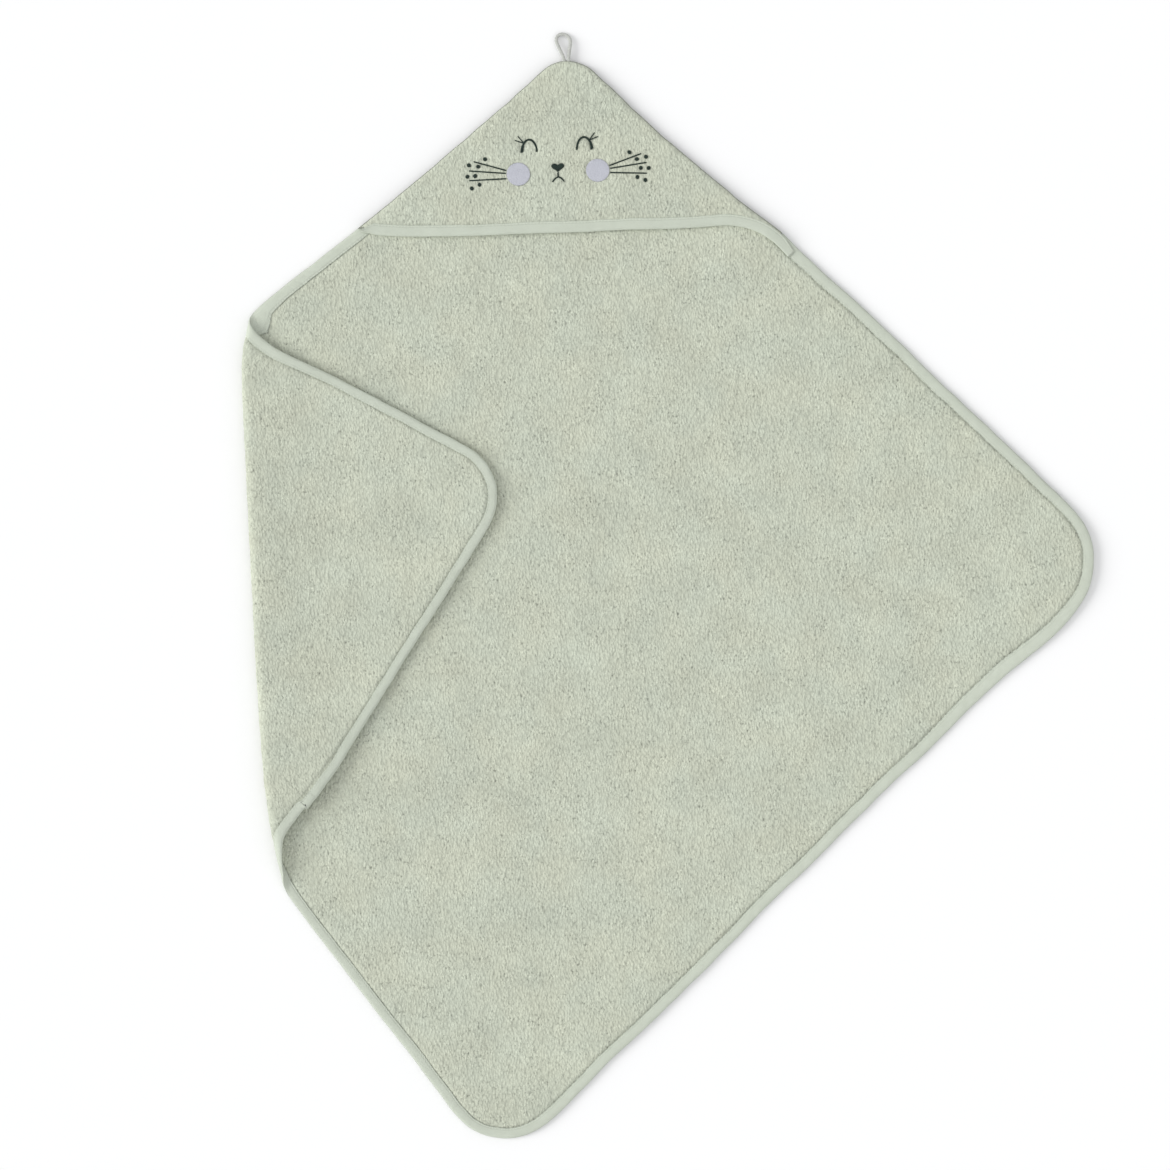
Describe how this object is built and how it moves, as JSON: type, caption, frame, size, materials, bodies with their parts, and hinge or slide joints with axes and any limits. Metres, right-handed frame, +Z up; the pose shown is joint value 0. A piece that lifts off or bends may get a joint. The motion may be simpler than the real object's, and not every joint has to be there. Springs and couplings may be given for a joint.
{
  "type": "hooded baby towel",
  "caption": "Square terry baby towel lying flat, with a triangular corner hood, an embroidered animal face, taped edges, a folded-over side corner and a hanging loop at the hood's tip.",
  "frame": {"origin": "middle of the towel's footprint as it lies, on the table plane", "axes": "+Z up from the table, +Y towards the hood's tip and the hanging loop, +X away from the folded corner"},
  "size_m": [0.8514, 1.1048, 0.0086],
  "materials": {
    "terry": "matte",
    "tape": "matte",
    "loop_cord": "matte",
    "stitch_thread": "satin",
    "dark_thread": "satin",
    "blush_thread": "satin"
  },
  "bodies": {
    "towel": {"towel_panel": "terry", "edge_tape_main": "tape", "edge_tape_upper_left": "tape", "corner_crease": "terry", "crease_tape_upper": "tape", "crease_tape_lower": "tape", "stitch_main": "stitch_thread", "stitch_upper_left": "stitch_thread", "hood_seam_left": "stitch_thread", "hood_seam_right": "stitch_thread", "loop_anchor": "loop_cord"},
    "corner": {"corner_flap": "terry", "edge_tape_flap": "tape", "stitch_flap": "stitch_thread"},
    "hood": {"hood_panel": "terry", "hood_mouth_tape": "tape", "stitch_hood_mouth": "stitch_thread", "nose": "dark_thread", "mouth_stem": "dark_thread", "mouth_curve": "dark_thread", "eye_left": "dark_thread", "lash_left_1": "dark_thread", "lash_left_2": "dark_thread", "whisker_left_1": "dark_thread", "whisker_left_2": "dark_thread", "whisker_left_3": "dark_thread", "freckle_left_1": "dark_thread", "freckle_left_2": "dark_thread", "freckle_left_3": "dark_thread", "freckle_left_4": "dark_thread", "freckle_left_5": "dark_thread", "freckle_left_6": "dark_thread", "freckle_left_7": "dark_thread", "eye_right": "dark_thread", "lash_right_1": "dark_thread", "lash_right_2": "dark_thread", "whisker_right_1": "dark_thread", "whisker_right_2": "dark_thread", "whisker_right_3": "dark_thread", "freckle_right_1": "dark_thread", "freckle_right_2": "dark_thread", "freckle_right_3": "dark_thread", "freckle_right_4": "dark_thread", "freckle_right_5": "dark_thread", "freckle_right_6": "dark_thread", "freckle_right_7": "dark_thread", "cheek_left": "blush_thread", "cheek_right": "blush_thread"},
    "loop": {"hanging_loop": "loop_cord"}
  },
  "joints": [
    {"name": "corner_fold", "type": "hinge", "parent": "towel", "child": "corner", "pos_m": [-0.4089, -0.01106, 0.00375], "axis": [0.0469, -0.9989, 0], "range_deg": [0, 179], "deforming": ["corner_crease", "crease_tape_upper", "crease_tape_lower"]},
    {"name": "hood_lift", "type": "hinge", "parent": "towel", "child": "hood", "pos_m": [-0.10146, 0.5234, 0.00375], "axis": [-1, 0, 0], "range_deg": [0, 20]},
    {"name": "loop_swing", "type": "hinge", "parent": "towel", "child": "loop", "pos_m": [-0.10146, 0.52668, 0.00375], "axis": [1, 0, 0], "range_deg": [0, 90]}
  ]
}
